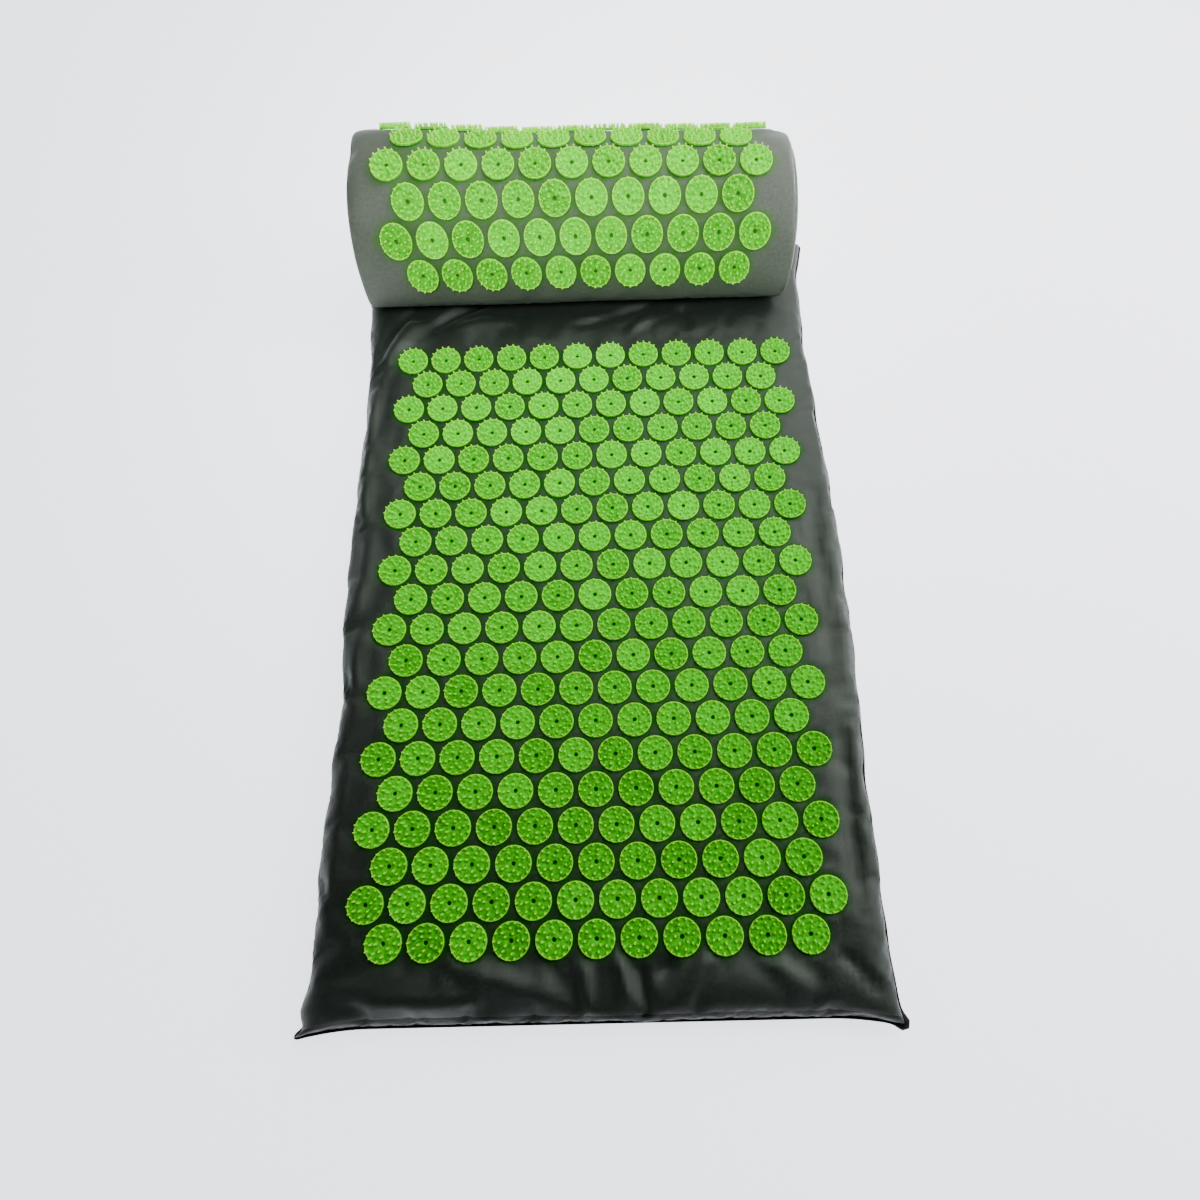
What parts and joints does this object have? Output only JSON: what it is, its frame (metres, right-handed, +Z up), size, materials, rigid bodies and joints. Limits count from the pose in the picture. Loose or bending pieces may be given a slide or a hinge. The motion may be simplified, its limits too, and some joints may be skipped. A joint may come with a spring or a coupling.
{
  "type": "acupressure mat",
  "caption": "Cloth-covered foam mat with rows of spiked plastic discs, and a loaf-shaped neck pillow with the same discs lying across its head end.",
  "frame": {"origin": "centre of the mat's flat underside", "axes": "+Y along the mat to the head end, where the pillow lies; +Z up; +X to the right as seen from the foot"},
  "size_m": [0.4398, 0.774, 0.1274],
  "materials": {
    "cover_cloth": "matt woven cotton",
    "foam": "open-cell foam",
    "mat_discs": "satin moulded plastic",
    "pillow_discs": "satin moulded plastic",
    "zip_tape": "woven tape",
    "zip_chain": "matt nylon coil",
    "zip_metal": "black enamel"
  },
  "bodies": {
    "mat": {"mat_cover_top": "cover_cloth", "mat_cover_base": "cover_cloth", "mat_edge_seam": "cover_cloth", "mat_foam": "foam", "mat_disc_row_01": "mat_discs", "mat_disc_row_02": "mat_discs", "mat_disc_row_03": "mat_discs", "mat_disc_row_04": "mat_discs", "mat_disc_row_05": "mat_discs", "mat_disc_row_06": "mat_discs", "mat_disc_row_07": "mat_discs", "mat_disc_row_08": "mat_discs", "mat_disc_row_09": "mat_discs", "mat_disc_row_10": "mat_discs", "mat_disc_row_11": "mat_discs", "mat_disc_row_12": "mat_discs", "mat_disc_row_13": "mat_discs", "mat_disc_row_14": "mat_discs", "mat_disc_row_15": "mat_discs", "mat_disc_row_16": "mat_discs", "mat_disc_row_17": "mat_discs", "mat_disc_row_18": "mat_discs", "mat_disc_row_19": "mat_discs", "mat_disc_row_20": "mat_discs", "mat_zip_tape_upper": "zip_tape", "mat_zip_tape_lower": "zip_tape", "mat_zip_chain": "zip_chain", "mat_zip_stop_left": "zip_metal", "mat_zip_stop_right": "zip_metal"},
    "mat_slider": {"mat_zip_slider": "zip_metal"},
    "mat_pull": {"mat_zip_pull": "zip_metal"},
    "pillow": {"pillow_cover_top": "cover_cloth", "pillow_cover_base": "cover_cloth", "pillow_end_left": "cover_cloth", "pillow_end_right": "cover_cloth", "pillow_foam": "foam", "pillow_disc_row_1": "pillow_discs", "pillow_disc_row_2": "pillow_discs", "pillow_disc_row_3": "pillow_discs", "pillow_disc_row_4": "pillow_discs", "pillow_disc_row_5": "pillow_discs", "pillow_disc_row_6": "pillow_discs", "pillow_disc_row_7": "pillow_discs", "pillow_disc_row_8": "pillow_discs", "pillow_zip_tape_upper": "zip_tape", "pillow_zip_tape_lower": "zip_tape", "pillow_zip_chain": "zip_chain", "pillow_zip_stop_left": "zip_metal", "pillow_zip_stop_right": "zip_metal"},
    "pillow_slider": {"pillow_zip_slider": "zip_metal"},
    "pillow_pull": {"pillow_zip_pull": "zip_metal"}
  },
  "joints": [
    {"name": "pillow_lift", "type": "slide", "parent": "mat", "child": "pillow", "axis": [0, 0, 1], "range_m": [0, 0.2]},
    {"name": "mat_zip_slide", "type": "slide", "parent": "mat", "child": "mat_slider", "axis": [1, 0, 0], "range_m": [0, 0.29]},
    {"name": "mat_pull_swing", "type": "hinge", "parent": "mat_slider", "child": "mat_pull", "pos_m": [-0.145, 0.35519, 0.0095], "axis": [0, 0, 1], "range_deg": [0, 180]},
    {"name": "pillow_zip_slide", "type": "slide", "parent": "pillow", "child": "pillow_slider", "axis": [1, 0, 0], "range_m": [0, 0.27]},
    {"name": "pillow_pull_swing", "type": "hinge", "parent": "pillow_slider", "child": "pillow_pull", "pos_m": [-0.145, 0.41419, 0.0483], "axis": [0, 0, 1], "range_deg": [0, 180]}
  ]
}
